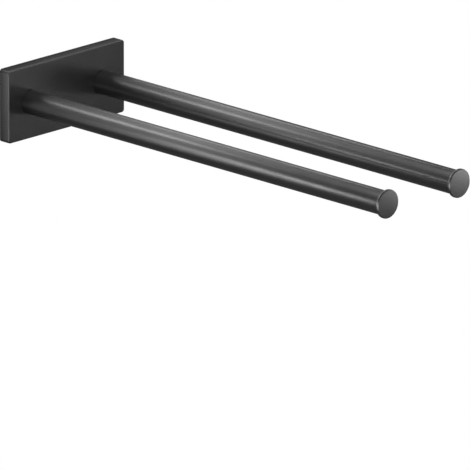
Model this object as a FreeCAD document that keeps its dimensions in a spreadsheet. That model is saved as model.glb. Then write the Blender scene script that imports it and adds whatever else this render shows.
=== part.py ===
"""Double towel bar: two fixed round arms that stand out from one wall plate.

Frame, in millimetres: the wall is the plane Y = 0 and the arms run along -Y, +Z is up and +X is to the
right for a person who faces the wall. The origin is the middle of the back, on the wall.

Construction: a flat bracket is screwed to the wall. The cast cover plate hangs over it on two hooks and
is drawn down and back by two grub screws, which press on the bracket's flared lower flange. Each arm is a
tube with a threaded plug in its wall end, held in a seat of the cover plate by one screw from behind, and
closed by a flanged cap at its free end.
"""

import FreeCAD, Part
import math
import os

import Sketcher

# The driving dimensions: name, value in mm or degrees, meaning
SIZES = (
    ("plate_width", 131, "cover plate along X"),
    ("plate_height", 61, "cover plate along Z"),
    ("plate_depth", 10.5, "cover plate from the wall to its front face"),
    ("corner_radius", 2.5, "corners of the cover plate seen from the front"),
    ("edge_radius", 1.0, "rounding around the front face"),
    ("rim_thickness", 2.6, "side walls of the cover plate"),
    ("face_thickness", 3.6, "front wall of the cover plate"),
    ("cavity_radius", 2.0, "inner corners of the cover plate"),
    ("bar_inset", 25, "end of the cover plate to the axis of an arm"),
    ("bar_diameter", 20, "outside of the tube"),
    ("bar_wall", 1.5, "wall of the tube"),
    ("bar_reach", 416, "wall to the outer face of the end caps"),
    ("seat_depth", 1.0, "recess in the front face that locates the tube"),
    ("seat_clearance", 0.1, "gap all round the tube in its seat"),
    ("fit_clearance", 0.05, "gap all round a plug or spigot in the tube"),
    ("insert_length", 22, "threaded plug in the wall end of the tube"),
    ("thread_depth", 16, "threaded length of the plug's bore"),
    ("thread_clearance", 0.05, "gap all round a screw in its thread"),
    ("cap_overhang", 1.9, "flange of the end cap beyond the tube"),
    ("cap_thickness", 2.5, "flange of the end cap along the arm"),
    ("cap_edge_chamfer", 0.4, "bevel of the end cap's outer edge"),
    ("spigot_length", 12, "part of the end cap inside the tube"),
    ("screw_diameter", 6, "screw that holds an arm"),
    ("screw_length", 16, "screw under its head"),
    ("head_diameter", 10.5, "button head of the screw"),
    ("head_height", 3.3, "button head along the screw"),
    ("head_chamfer", 1.8, "bevel of the button head"),
    ("socket_width", 4, "hexagon socket across its flats"),
    ("socket_depth", 2.0, "depth of the hexagon socket"),
    ("screw_chamfer", 0.6, "bevel at the ends of the screws"),
    ("hole_clearance", 0.2, "gap all round the screw in plate and washers"),
    ("washer_diameter", 12, "flat washer"),
    ("washer_thickness", 1.6, "flat washer along the screw"),
    ("spring_diameter", 11.8, "spring washer"),
    ("spring_thickness", 1.6, "spring washer along the screw"),
    ("spring_split", 1.0, "width of the cut through the spring washer"),
    ("spring_slant", 20, "angle of that cut to the screw's axis"),
    ("ring_clearance", 1.0, "gap from the flat washer to the ring cast round it"),
    ("ring_wall", 2.0, "wall of the cast ring"),
    ("ring_height", 3.9, "height of the cast ring"),
    ("rib_thickness", 1.6, "cast ribs between the rings and to the ends"),
    ("rib_height", 2.2, "height of the cast ribs"),
    ("fixing_spacing", 40, "hooks and grub screws, left to right"),
    ("hook_width", 10, "hook inside the top of the cover plate"),
    ("contact_clearance", 0.1, "gap left where hook and grub screw bear on the bracket"),
    ("grub_diameter", 5, "grub screw"),
    ("grub_length", 8, "grub screw with its point"),
    ("grub_flat", 1.0, "blunt end of the grub screw's point"),
    ("grub_socket_width", 2.5, "hexagon socket across its flats"),
    ("grub_socket_depth", 2.5, "depth of the hexagon socket"),
    ("grub_boss_width", 10, "block round the grub screw's thread"),
    ("grub_boss_gap", 1.2, "block to the level of the bracket's flange tip"),
    ("bracket_thickness", 2.0, "sheet of the wall bracket"),
    ("bend_radius", 1.0, "inside of the bracket's bends"),
    ("flare_angle", 10, "outward slope of the bracket's flanges"),
    ("flange_gap", 5.3, "flange tip to the inside of the cover plate's rim"),
    ("flange_front_gap", 1.0, "flange tip to the inside of the front wall"),
    ("flange_corner_radius", 3.0, "rounded corners of the flanges"),
    ("bracket_end_gap", 6.9, "end of the bracket to the inside of the rim"),
    ("opening_clearance", 1.0, "bracket's round opening beyond the cast ring"),
    ("wall_hole_diameter", 5.5, "holes and slots for the wall screws"),
    ("wall_slot_length", 9, "slots, end to end"),
    ("wall_hole_spacing", 40, "wall screws, left to right"),
    ("wall_row_spacing", 28, "upper slots to lower holes"),
)

SIDES = (("left", -1), ("right", 1))
TOLERANCE = 0.001
HEXAGON_SIDES = 6

# Places that follow from the driving dimensions
CAVITY_DEPTH = "(sizes.plate_depth - sizes.face_thickness)"
RIM_TOP = "(sizes.plate_height / 2 - sizes.rim_thickness)"
RIM_END = "(sizes.plate_width / 2 - sizes.rim_thickness)"
BAR_X = "(sizes.plate_width / 2 - sizes.bar_inset)"
FIXING_X = "(sizes.fixing_spacing / 2)"
SEAT_Y = "(sizes.plate_depth - sizes.seat_depth)"
CAP_Y = "(sizes.bar_reach - sizes.cap_thickness)"
BORE_RADIUS = "(sizes.bar_diameter / 2 - sizes.bar_wall)"
PLUG_RADIUS = f"({BORE_RADIUS} - sizes.fit_clearance)"
CAP_RADIUS = "(sizes.bar_diameter / 2 + sizes.cap_overhang)"
SCREW_RADIUS = "(sizes.screw_diameter / 2)"
SCREW_HOLE = "(sizes.screw_diameter + 2 * sizes.hole_clearance)"
RING_INNER = "(sizes.washer_diameter / 2 + sizes.ring_clearance)"
RING_OUTER = f"({RING_INNER} + sizes.ring_wall)"
RING_MIDDLE = f"({RING_INNER} + sizes.ring_wall / 2)"
SPRING_Y = f"({CAVITY_DEPTH} - sizes.washer_thickness)"
HEAD_Y = f"({SPRING_Y} - sizes.spring_thickness)"
FLARE = "tan(sizes.flare_angle * 1 deg)"
SLANTED_SHEET = "(sizes.bracket_thickness / cos(sizes.flare_angle * 1 deg))"
FLANGE_REACH = f"({CAVITY_DEPTH} - sizes.flange_front_gap)"
FLANGE_TIP = f"({RIM_TOP} - sizes.flange_gap)"
FLANGE_ROOT = f"({FLANGE_TIP} - {FLANGE_REACH} * {FLARE})"
BRACKET_WIDTH = f"(2 * ({RIM_END} - sizes.bracket_end_gap))"
GRUB_Y = f"({CAVITY_DEPTH} / 2)"
GRUB_TOP = f"({FLANGE_ROOT} + {GRUB_Y} * {FLARE} + sizes.contact_clearance)"
GRUB_BOSS_TOP = f"({FLANGE_TIP} + sizes.grub_boss_gap)"

document = FreeCAD.newDocument("double_towel_bar")
sheet = document.addObject("Spreadsheet::Sheet", "sizes")
for row, (alias, value, meaning) in enumerate(SIZES, start=1):
    sheet.set(f"A{row}", alias)
    sheet.set(f"B{row}", str(value))
    sheet.set(f"C{row}", meaning)
    sheet.setAlias(f"B{row}", alias)
document.recompute()


def number(expression):
    """The value of an expression in the sheet's names."""
    return float(sheet.evalExpression(expression))


def new_body(name):
    return document.addObject("PartDesign::Body", name)


def new_sketch(body, name, role, offset="0"):
    """A sketch on one of the body's origin planes, moved along that plane's normal."""
    sketch = body.newObject("Sketcher::SketchObject", name)
    plane = next(feature for feature in body.Origin.OriginFeatures if feature.Role == role)
    sketch.AttachmentSupport = [(plane, "")]
    sketch.MapMode = "FlatFace"
    sketch.setExpression("AttachmentOffset.Base.z", offset)
    return sketch


def bind(sketch, kind, reference, expression):
    """A dimension of the sketch that follows the sheet."""
    index = sketch.addConstraint(Sketcher.Constraint(kind, *reference, number(expression)))
    sketch.setExpression(f"Constraints[{index}]", expression)


def pin(sketch, geometry, point, place):
    """Fix a point of the sketch at a place given by two expressions."""
    bind(sketch, "DistanceX", (-1, 1, geometry, point), place[0])
    bind(sketch, "DistanceY", (-1, 1, geometry, point), place[1])


def add_outline(sketch, corners):
    """A closed outline of straight lines through corners given as pairs of expressions."""
    points = [FreeCAD.Vector(number(x), number(y), 0) for x, y in corners]
    first = sketch.GeometryCount
    count = len(points)
    for index in range(count):
        sketch.addGeometry(Part.LineSegment(points[index], points[(index + 1) % count]))
    for index in range(count):
        following = first + (index + 1) % count
        sketch.addConstraint(Sketcher.Constraint("Coincident", first + index, 2, following, 1))
        pin(sketch, first + index, 1, corners[index])


def add_rectangle(sketch, left, right, bottom, top):
    add_outline(sketch, ((left, bottom), (right, bottom), (right, top), (left, top)))


def add_circle(sketch, centre, diameter):
    middle = FreeCAD.Vector(number(centre[0]), number(centre[1]), 0)
    normal = FreeCAD.Vector(0, 0, 1)
    index = sketch.addGeometry(Part.Circle(middle, normal, number(diameter) / 2))
    pin(sketch, index, 3, centre)
    bind(sketch, "Diameter", (index,), diameter)


def add_slot(sketch, centre, length, width):
    """A slot along the sketch's X axis, with round ends."""
    radius = number(width) / 2
    reach = number(length) / 2 - radius
    middle = FreeCAD.Vector(number(centre[0]), number(centre[1]), 0)
    normal = FreeCAD.Vector(0, 0, 1)
    ends = []
    for sign, start in ((-1, math.pi / 2), (1, -math.pi / 2)):
        circle = Part.Circle(middle + FreeCAD.Vector(sign * reach, 0, 0), normal, radius)
        end = sketch.addGeometry(Part.ArcOfCircle(circle, start, start + math.pi))
        pin(sketch, end, 3, (f"{centre[0]} + {sign} * ({length} - {width}) / 2", centre[1]))
        ends.append(end)
    left, right = ends
    for first, first_point, second, second_point in ((left, 2, right, 1), (right, 2, left, 1)):
        start = sketch.getPoint(first, first_point)
        line = sketch.addGeometry(Part.LineSegment(start, sketch.getPoint(second, second_point)))
        sketch.addConstraint(Sketcher.Constraint("Tangent", first, first_point, line, 1))
        sketch.addConstraint(Sketcher.Constraint("Tangent", line, 2, second, second_point))
    bind(sketch, "Radius", (left,), f"{width} / 2")


def add_hexagon(sketch, across_flats):
    step = 360 / HEXAGON_SIDES
    corner = f"{across_flats} / 2 / cos({step / 2} deg)"
    turns = [step * index for index in range(HEXAGON_SIDES)]
    add_outline(sketch, [(f"{corner} * cos({turn} deg)", f"{corner} * sin({turn} deg)") for turn in turns])


def pad(body, sketch, name, length, reverse=False, midplane=False):
    feature = body.newObject("PartDesign::Pad", name)
    feature.Profile = sketch
    feature.setExpression("Length", length)
    feature.Reversed = reverse
    feature.Midplane = midplane
    return feature


def pocket(body, sketch, name, length, reverse=False):
    """A cut from the sketch, which has to take material away."""
    document.recompute()
    volume = body.Shape.Volume
    feature = body.newObject("PartDesign::Pocket", name)
    feature.Profile = sketch
    feature.setExpression("Length", length)
    feature.Reversed = reverse
    document.recompute()
    if body.Shape.Volume > volume - TOLERANCE:
        raise RuntimeError(f"{name} cuts nothing")
    return feature


def revolve(body, sketch, name):
    """A full turn of the sketch round its own vertical axis."""
    feature = body.newObject("PartDesign::Revolution", name)
    feature.Profile = sketch
    feature.ReferenceAxis = (sketch, ["V_Axis"])
    feature.Angle = 360
    return feature


def dress(body, kind, name, base, measure, size, belongs):
    """A fillet or chamfer on the edges of the base feature that belong."""
    document.recompute()
    edges = enumerate(base.Shape.Edges, start=1)
    names = [f"Edge{index}" for index, edge in edges if belongs(edge)]
    if not names:
        raise RuntimeError(f"{name} has no edges")
    feature = body.newObject(f"PartDesign::{kind}", name)
    feature.Base = (base, names)
    feature.setExpression(measure, size)
    return feature


def level(edge, axis, place):
    """Whether the whole edge lies at one place along an axis."""
    box = edge.BoundBox
    low = getattr(box, f"{axis}Min")
    high = getattr(box, f"{axis}Max")
    return abs(low - place) < TOLERANCE and abs(high - place) < TOLERANCE


def runs_along(edge, direction):
    """Whether the edge is a straight line along a direction."""
    if edge.Curve.TypeId != "Part::GeomLine":
        return False
    return edge.Curve.Direction.cross(direction).Length < TOLERANCE


def place_along_bar(sub_part, sign, distance):
    """Stand a piece on an arm's axis: its own Z runs out from the wall, from a distance off it."""
    sub_part.Placement.Rotation = FreeCAD.Rotation(FreeCAD.Vector(1, 0, 0), 90)
    sub_part.setExpression("Placement.Base.x", f"{sign} * {BAR_X}")
    sub_part.setExpression("Placement.Base.y", f"-{distance}")


def make_cover_plate():
    """The cast cover plate: a shallow shell with seats, rings, ribs, hooks and grub screw blocks."""
    body = new_body("cover_plate")
    outline = new_sketch(body, "plate_outline", "XZ_Plane")
    half_width = "sizes.plate_width / 2"
    half_height = "sizes.plate_height / 2"
    add_rectangle(outline, f"-{half_width}", half_width, f"-{half_height}", half_height)
    block = pad(body, outline, "plate_block", "sizes.plate_depth")
    depth_axis = FreeCAD.Vector(0, 1, 0)
    corners = dress(
        body, "Fillet", "plate_corners", block, "Radius", "sizes.corner_radius",
        lambda edge: runs_along(edge, depth_axis),
    )
    front = -number("sizes.plate_depth")
    dress(
        body, "Fillet", "front_edge", corners, "Radius", "sizes.edge_radius",
        lambda edge: level(edge, "Y", front),
    )

    cavity_outline = new_sketch(body, "cavity_outline", "XZ_Plane")
    add_rectangle(cavity_outline, f"-{RIM_END}", RIM_END, f"-{RIM_TOP}", RIM_TOP)
    cavity = pocket(body, cavity_outline, "cavity", CAVITY_DEPTH, reverse=True)
    inner_end = number(RIM_END)
    inner_top = number(RIM_TOP)
    dress(
        body, "Fillet", "cavity_corners", cavity, "Radius", "sizes.cavity_radius",
        lambda edge: runs_along(edge, depth_axis)
        and abs(abs(edge.CenterOfMass.x) - inner_end) < TOLERANCE
        and abs(abs(edge.CenterOfMass.z) - inner_top) < TOLERANCE,
    )

    rings = new_sketch(body, "ring_outline", "XZ_Plane", CAVITY_DEPTH)
    for _, sign in SIDES:
        centre = (f"{sign} * {BAR_X}", "0")
        add_circle(rings, centre, f"2 * {RING_OUTER}")
        add_circle(rings, centre, f"2 * {RING_INNER}")
    pad(body, rings, "rings", "sizes.ring_height", reverse=True)

    half_rib = "sizes.rib_thickness / 2"
    for name, sign in (("lower", -1), ("upper", 1)):
        rib = new_sketch(body, f"{name}_rib_outline", "XZ_Plane", CAVITY_DEPTH)
        middle = f"{sign} * {RING_MIDDLE}"
        add_rectangle(rib, f"-{BAR_X}", BAR_X, f"{middle} - {half_rib}", f"{middle} + {half_rib}")
        pad(body, rib, f"{name}_rib", "sizes.rib_height", reverse=True)
    end_ribs = new_sketch(body, "end_rib_outline", "XZ_Plane", CAVITY_DEPTH)
    for _, sign in SIDES:
        ring_side = f"{sign} * ({BAR_X} + {RING_MIDDLE})"
        rim_side = f"{sign} * ({RIM_END} + sizes.rim_thickness / 2)"
        add_rectangle(end_ribs, ring_side, rim_side, f"-{half_rib}", half_rib)
    pad(body, end_ribs, "end_ribs", "sizes.rib_height", reverse=True)

    boss_outline = new_sketch(body, "grub_boss_outline", "XZ_Plane", CAVITY_DEPTH)
    outer_rim = f"{RIM_TOP} + sizes.rim_thickness / 2"
    for _, sign in SIDES:
        middle = f"{sign} * {FIXING_X}"
        half_boss = "sizes.grub_boss_width / 2"
        add_rectangle(
            boss_outline, f"{middle} - {half_boss}", f"{middle} + {half_boss}",
            f"-({outer_rim})", f"-{GRUB_BOSS_TOP}",
        )
    pad(body, boss_outline, "grub_bosses", CAVITY_DEPTH, reverse=True)

    for name, sign in SIDES:
        hook = new_sketch(body, f"{name}_hook_outline", "YZ_Plane", f"{sign} * {FIXING_X}")
        tip_level = f"{FLANGE_TIP} + sizes.contact_clearance"
        add_outline(hook, (
            ("0", outer_rim),
            ("0", f"{FLANGE_ROOT} + sizes.contact_clearance"),
            (f"-{FLANGE_REACH}", tip_level),
            (f"-({CAVITY_DEPTH} + sizes.face_thickness / 2)", tip_level),
            (f"-({CAVITY_DEPTH} + sizes.face_thickness / 2)", outer_rim),
        ))
        pad(body, hook, f"{name}_hook", "sizes.hook_width", midplane=True)

    seats = new_sketch(body, "seat_outline", "XZ_Plane", "sizes.plate_depth")
    holes = new_sketch(body, "screw_hole_outline", "XZ_Plane", "sizes.plate_depth")
    for _, sign in SIDES:
        centre = (f"{sign} * {BAR_X}", "0")
        add_circle(seats, centre, "sizes.bar_diameter + 2 * sizes.seat_clearance")
        add_circle(holes, centre, SCREW_HOLE)
    pocket(body, seats, "bar_seats", "sizes.seat_depth")
    pocket(body, holes, "screw_holes", "sizes.face_thickness")

    threads = new_sketch(body, "grub_hole_outline", "XY_Plane", f"-{half_height}")
    for _, sign in SIDES:
        centre = (f"{sign} * {FIXING_X}", f"-{GRUB_Y}")
        add_circle(threads, centre, "sizes.grub_diameter + 2 * sizes.thread_clearance")
    pocket(body, threads, "grub_holes", f"{half_height} - {GRUB_BOSS_TOP}", reverse=True)
    return body


def make_wall_bracket():
    """The folded wall bracket: a flat web on the wall between two flanges that flare outwards."""
    body = new_body("wall_bracket")
    profile = new_sketch(body, "bracket_profile", "YZ_Plane")
    tip_inside = f"{FLANGE_TIP} - {SLANTED_SHEET}"
    root_inside = f"{FLANGE_ROOT} + sizes.bracket_thickness * {FLARE} - {SLANTED_SHEET}"
    add_outline(profile, (
        ("0", f"-({FLANGE_ROOT})"),
        ("0", FLANGE_ROOT),
        (f"-{FLANGE_REACH}", FLANGE_TIP),
        (f"-{FLANGE_REACH}", tip_inside),
        ("-sizes.bracket_thickness", root_inside),
        ("-sizes.bracket_thickness", f"-({root_inside})"),
        (f"-{FLANGE_REACH}", f"-({tip_inside})"),
        (f"-{FLANGE_REACH}", f"-({FLANGE_TIP})"),
    ))
    sheet_metal = pad(body, profile, "folded_sheet", BRACKET_WIDTH, midplane=True)
    length_axis = FreeCAD.Vector(1, 0, 0)
    inner_face = -number("sizes.bracket_thickness")
    inner_bends = dress(
        body, "Fillet", "inner_bends", sheet_metal, "Radius", "sizes.bend_radius",
        lambda edge: runs_along(edge, length_axis) and level(edge, "Y", inner_face),
    )
    outer_bends = dress(
        body, "Fillet", "outer_bends", inner_bends, "Radius",
        "sizes.bend_radius + sizes.bracket_thickness",
        lambda edge: runs_along(edge, length_axis) and level(edge, "Y", 0),
    )
    tip = -number(FLANGE_REACH)
    dress(
        body, "Fillet", "flange_corners", outer_bends, "Radius", "sizes.flange_corner_radius",
        lambda edge: level(edge, "Y", tip) and not runs_along(edge, length_axis),
    )

    holes = new_sketch(body, "bracket_holes", "XZ_Plane")
    row = "sizes.wall_row_spacing / 2"
    for _, sign in SIDES:
        column = f"{sign} * sizes.wall_hole_spacing / 2"
        add_slot(holes, (column, row), "sizes.wall_slot_length", "sizes.wall_hole_diameter")
        add_circle(holes, (column, f"-{row}"), "sizes.wall_hole_diameter")
        add_circle(holes, (f"{sign} * {BAR_X}", "0"), f"2 * ({RING_OUTER} + sizes.opening_clearance)")
    pocket(body, holes, "wall_holes", "sizes.bracket_thickness", reverse=True)
    return body


def make_bar_tube(side, sign):
    """The arm itself: a tube from its seat in the cover plate to the end cap."""
    body = new_body(f"{side}_bar_tube")
    section = new_sketch(body, f"{side}_tube_section", "XY_Plane")
    add_circle(section, ("0", "0"), "sizes.bar_diameter")
    add_circle(section, ("0", "0"), f"2 * {BORE_RADIUS}")
    pad(body, section, f"{side}_tube", f"{CAP_Y} - {SEAT_Y}")
    place_along_bar(body, sign, SEAT_Y)
    return body


def make_bar_insert(side, sign):
    """The threaded plug in the wall end of the tube, with a blind bore."""
    body = new_body(f"{side}_bar_insert")
    profile = new_sketch(body, f"{side}_insert_profile", "XZ_Plane")
    bore = f"{SCREW_RADIUS} + sizes.thread_clearance"
    add_outline(profile, (
        (bore, "0"),
        (PLUG_RADIUS, "0"),
        (PLUG_RADIUS, "sizes.insert_length"),
        ("0", "sizes.insert_length"),
        ("0", "sizes.thread_depth"),
        (bore, "sizes.thread_depth"),
    ))
    revolve(body, profile, f"{side}_insert")
    place_along_bar(body, sign, SEAT_Y)
    return body


def make_end_cap(side, sign):
    """The flanged cap of the free end, with a spigot inside the tube."""
    body = new_body(f"{side}_end_cap")
    profile = new_sketch(body, f"{side}_cap_profile", "XZ_Plane")
    add_outline(profile, (
        ("0", "-sizes.spigot_length"),
        (PLUG_RADIUS, "-sizes.spigot_length"),
        (PLUG_RADIUS, "0"),
        (CAP_RADIUS, "0"),
        (CAP_RADIUS, "sizes.cap_thickness"),
        ("0", "sizes.cap_thickness"),
    ))
    turned = revolve(body, profile, f"{side}_cap")
    face = number("sizes.cap_thickness")
    dress(
        body, "Chamfer", f"{side}_cap_edge", turned, "Size", "sizes.cap_edge_chamfer",
        lambda edge: level(edge, "Z", face),
    )
    place_along_bar(body, sign, CAP_Y)
    return body


def make_bar_screw(side, sign):
    """The button head screw that draws the arm into its seat."""
    body = new_body(f"{side}_bar_screw")
    profile = new_sketch(body, f"{side}_screw_profile", "XZ_Plane")
    add_outline(profile, (
        ("0", "-sizes.head_height"),
        ("sizes.head_diameter / 2", "-sizes.head_height"),
        ("sizes.head_diameter / 2", "0"),
        (SCREW_RADIUS, "0"),
        (SCREW_RADIUS, "sizes.screw_length - sizes.screw_chamfer"),
        (f"{SCREW_RADIUS} - sizes.screw_chamfer", "sizes.screw_length"),
        ("0", "sizes.screw_length"),
    ))
    turned = revolve(body, profile, f"{side}_screw")
    top = -number("sizes.head_height")
    dress(
        body, "Chamfer", f"{side}_screw_crown", turned, "Size", "sizes.head_chamfer",
        lambda edge: level(edge, "Z", top),
    )
    socket = new_sketch(body, f"{side}_screw_socket", "XY_Plane", "-sizes.head_height")
    add_hexagon(socket, "sizes.socket_width")
    pocket(body, socket, f"{side}_screw_hexagon", "sizes.socket_depth", reverse=True)
    place_along_bar(body, sign, HEAD_Y)
    return body


def make_ring(name, diameter, thickness):
    """A plain ring round the arm's screw, made from two cylinders."""
    outside = document.addObject("Part::Cylinder", f"{name}_outside")
    outside.setExpression("Radius", f"{diameter} / 2")
    outside.setExpression("Height", thickness)
    inside = document.addObject("Part::Cylinder", f"{name}_inside")
    inside.setExpression("Radius", f"{SCREW_HOLE} / 2")
    inside.setExpression("Height", thickness)
    ring = document.addObject("Part::Cut", name)
    ring.Base = outside
    ring.Tool = inside
    return ring


def make_flat_washer(side, sign):
    """The flat washer on the inside of the front wall."""
    washer = make_ring(f"{side}_flat_washer", "sizes.washer_diameter", "sizes.washer_thickness")
    place_along_bar(washer, sign, SPRING_Y)
    return washer


def make_spring_washer(side, sign):
    """The spring washer under the screw's head, cut through on a slant."""
    name = f"{side}_spring_washer"
    ring = make_ring(f"{name}_ring", "sizes.spring_diameter", "sizes.spring_thickness")
    blade = document.addObject("Part::Box", f"{name}_blade")
    blade.setExpression("Length", "sizes.spring_split")
    blade.setExpression("Width", "sizes.spring_diameter")
    blade.setExpression("Height", "sizes.spring_diameter")
    blade.Placement.Rotation = FreeCAD.Rotation(FreeCAD.Vector(0, 1, 0), number("sizes.spring_slant"))
    blade.setExpression("Placement.Rotation.Angle", "sizes.spring_slant")
    half_split = "sizes.spring_split / 2"
    half_blade = "sizes.spring_diameter / 2"
    slant = "sizes.spring_slant * 1 deg"
    blade.setExpression("Placement.Base.x", f"-({half_split} * cos({slant}) + {half_blade} * sin({slant}))")
    blade.setExpression(
        "Placement.Base.z",
        f"sizes.spring_thickness / 2 + {half_split} * sin({slant}) - {half_blade} * cos({slant})",
    )
    washer = document.addObject("Part::Cut", name)
    washer.Base = ring
    washer.Tool = blade
    place_along_bar(washer, sign, HEAD_Y)
    return washer


def make_grub_screw(side, sign):
    """The pointed grub screw in the cover plate's lower rim, which bears on the bracket."""
    body = new_body(f"{side}_grub_screw")
    profile = new_sketch(body, f"{side}_grub_profile", "XZ_Plane")
    radius = "sizes.grub_diameter / 2"
    point_height = f"({radius} - sizes.grub_flat / 2)"
    add_outline(profile, (
        ("0", "-sizes.grub_length"),
        (f"{radius} - sizes.screw_chamfer", "-sizes.grub_length"),
        (radius, "-sizes.grub_length + sizes.screw_chamfer"),
        (radius, f"-{point_height}"),
        ("sizes.grub_flat / 2", "0"),
        ("0", "0"),
    ))
    revolve(body, profile, f"{side}_grub")
    socket = new_sketch(body, f"{side}_grub_socket", "XY_Plane", "-sizes.grub_length")
    add_hexagon(socket, "sizes.grub_socket_width")
    pocket(body, socket, f"{side}_grub_hexagon", "sizes.grub_socket_depth", reverse=True)
    body.setExpression("Placement.Base.x", f"{sign} * {FIXING_X}")
    body.setExpression("Placement.Base.y", f"-{GRUB_Y}")
    body.setExpression("Placement.Base.z", f"-{GRUB_TOP}")
    return body


def make_arm(side, sign):
    """Every piece that one arm and its side of the cover plate need."""
    makers = (
        make_bar_tube, make_bar_insert, make_end_cap, make_bar_screw,
        make_flat_washer, make_spring_washer, make_grub_screw,
    )
    return [maker(side, sign) for maker in makers]


def check(sub_parts):
    """Stop on any failed object or broken shape."""
    failed = [item.Name for item in document.Objects if {"Invalid", "Error"} & set(item.State)]
    if failed:
        raise RuntimeError(f"failed objects: {failed}")
    for sub_part in sub_parts:
        shape = sub_part.Shape
        if shape.isNull() or not shape.isValid() or len(shape.Solids) != 1:
            raise RuntimeError(f"{sub_part.Label} is not one valid solid")


def write(sub_parts):
    os.makedirs("parts", exist_ok=True)
    for sub_part in sub_parts:
        sub_part.Shape.exportStep(f"parts/{sub_part.Label}.step")
        box = sub_part.Shape.BoundBox
        print(
            f"{sub_part.Label}: volume {sub_part.Shape.Volume:.1f}"
            f" x {box.XMin:.2f} to {box.XMax:.2f}"
            f" y {box.YMin:.2f} to {box.YMax:.2f}"
            f" z {box.ZMin:.2f} to {box.ZMax:.2f}"
        )


sub_parts = [make_cover_plate(), make_wall_bracket()]
for side, sign in SIDES:
    sub_parts += make_arm(side, sign)
document.recompute()
check(sub_parts)
write(sub_parts)
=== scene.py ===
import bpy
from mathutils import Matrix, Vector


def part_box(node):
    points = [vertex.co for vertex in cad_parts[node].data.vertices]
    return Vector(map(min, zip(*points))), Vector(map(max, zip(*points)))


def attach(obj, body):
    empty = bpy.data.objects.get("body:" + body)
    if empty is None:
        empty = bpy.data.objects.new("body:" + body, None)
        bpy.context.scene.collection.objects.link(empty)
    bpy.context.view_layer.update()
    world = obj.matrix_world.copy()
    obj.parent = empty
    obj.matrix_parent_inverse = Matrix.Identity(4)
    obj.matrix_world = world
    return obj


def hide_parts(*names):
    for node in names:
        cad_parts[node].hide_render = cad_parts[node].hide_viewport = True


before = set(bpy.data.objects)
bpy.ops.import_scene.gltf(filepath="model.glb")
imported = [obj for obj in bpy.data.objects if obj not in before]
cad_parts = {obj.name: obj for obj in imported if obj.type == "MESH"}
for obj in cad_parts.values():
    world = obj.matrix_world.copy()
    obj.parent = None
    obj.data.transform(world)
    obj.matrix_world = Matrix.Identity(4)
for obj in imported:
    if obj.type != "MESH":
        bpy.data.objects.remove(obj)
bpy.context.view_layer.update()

import math

import bmesh
import bpy
from mathutils import Euler, Matrix, Vector

bl_info = {
    "name": "Double Towel Bar",
    "version": (1, 0, 0),
    "blender": (4, 5, 0),
    "location": "3D View > Sidebar > Towel Bar",
    "description": "Finishes a wall plate with two fixed arms around its packed solids",
    "category": "Object",
}

SIDES = ("left", "right")
BODY = "root"
FULL_TURN = 2 * math.pi
QUARTER_TURN = math.pi / 2
HEXAGON = 6
MERGE_DISTANCE = 1e-6
BLACK = (0.0, 0.0, 0.0, 1.0)

# Faces that meet at more than this angle show a sharp edge
SHARP_ANGLE = math.radians(32)

# Steps round each small rounded corner of a turned piece
CORNER_STEPS = 4

# Rings on a cap's domed face, as shares of its radius
CROWN_SHARES = (0.85, 0.7, 0.55, 0.4, 0.25, 0.1)

# Rings on a button head's dome, in degrees from its wall to its flat top
DOME_ANGLES = range(15, 91, 15)

# Depth of a thread, as a share of its pitch
THREAD_DEPTH = 0.61

# One turn of a thread: share of its depth, share of its pitch
THREAD_FORM = ((0.0, 0.0), (1.0, 0.3125), (1.0, 0.4375), (0.0, 0.75), (0.0, 1.0))

# Turns wound below a thread's lower end, which is then cut level
SPARE_TURNS = 2

# Powder coat: cells per metre of its flecks, patches and peel, and the share of finer cells in the peel
COAT_FLECKS = 900.0
COAT_PATCHES = 45.0
COAT_PEEL = 1400.0
COAT_PEEL_FINE = 0.3

# Stainless sheet: cells per metre of its patches, and of its brushing along X, Y and Z
SHEET_PATCHES = 70.0
SHEET_BRUSHING = (60.0, 6000.0, 6000.0)

# Zinc plating: cells per metre of its patches and of its grain
ZINC_PATCHES = 260.0
ZINC_GRAIN = 2600.0

# Brass: cells per metre of its turned rings along X, Y and Z
BRASS_RINGS = (50.0, 9000.0, 50.0)

# Red, green and blue of a metal's second tone, as shares of its colour
SHEET_SHADE = (0.82, 0.82, 0.82)
ZINC_WARMTH = (1.02, 0.97, 0.86)
BRASS_SHADE = (0.8, 0.8, 0.8)

# Lowest and highest roughness of each metal
SHEET_ROUGHNESS = (0.30, 0.40)
ZINC_ROUGHNESS = (0.24, 0.36)
BRASS_ROUGHNESS = (0.20, 0.34)

# Relief of each finish: strength, height in metres
COAT_RELIEF = (0.03, 0.00005)
SHEET_RELIEF = (0.2, 0.00002)
ZINC_RELIEF = (0.1, 0.00002)
BRASS_RELIEF = (0.25, 0.00002)

# How many finer cells of a relief lie along one of its broad cells
FINER_CELLS = 3.7

# Places of the colours among a Mix node's sockets
MIX_FIRST_COLOUR = 6
MIX_SECOND_COLOUR = 7
MIX_COLOUR_RESULT = 2

FLOOR_CELLS = 8
FLOOR_ROUGHNESS = 0.9

# Camera: width of its sensor in millimetres, and its far limit in distances to the aim point
SENSOR_WIDTH = 36.0
FAR_LIMIT = 4

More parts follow.
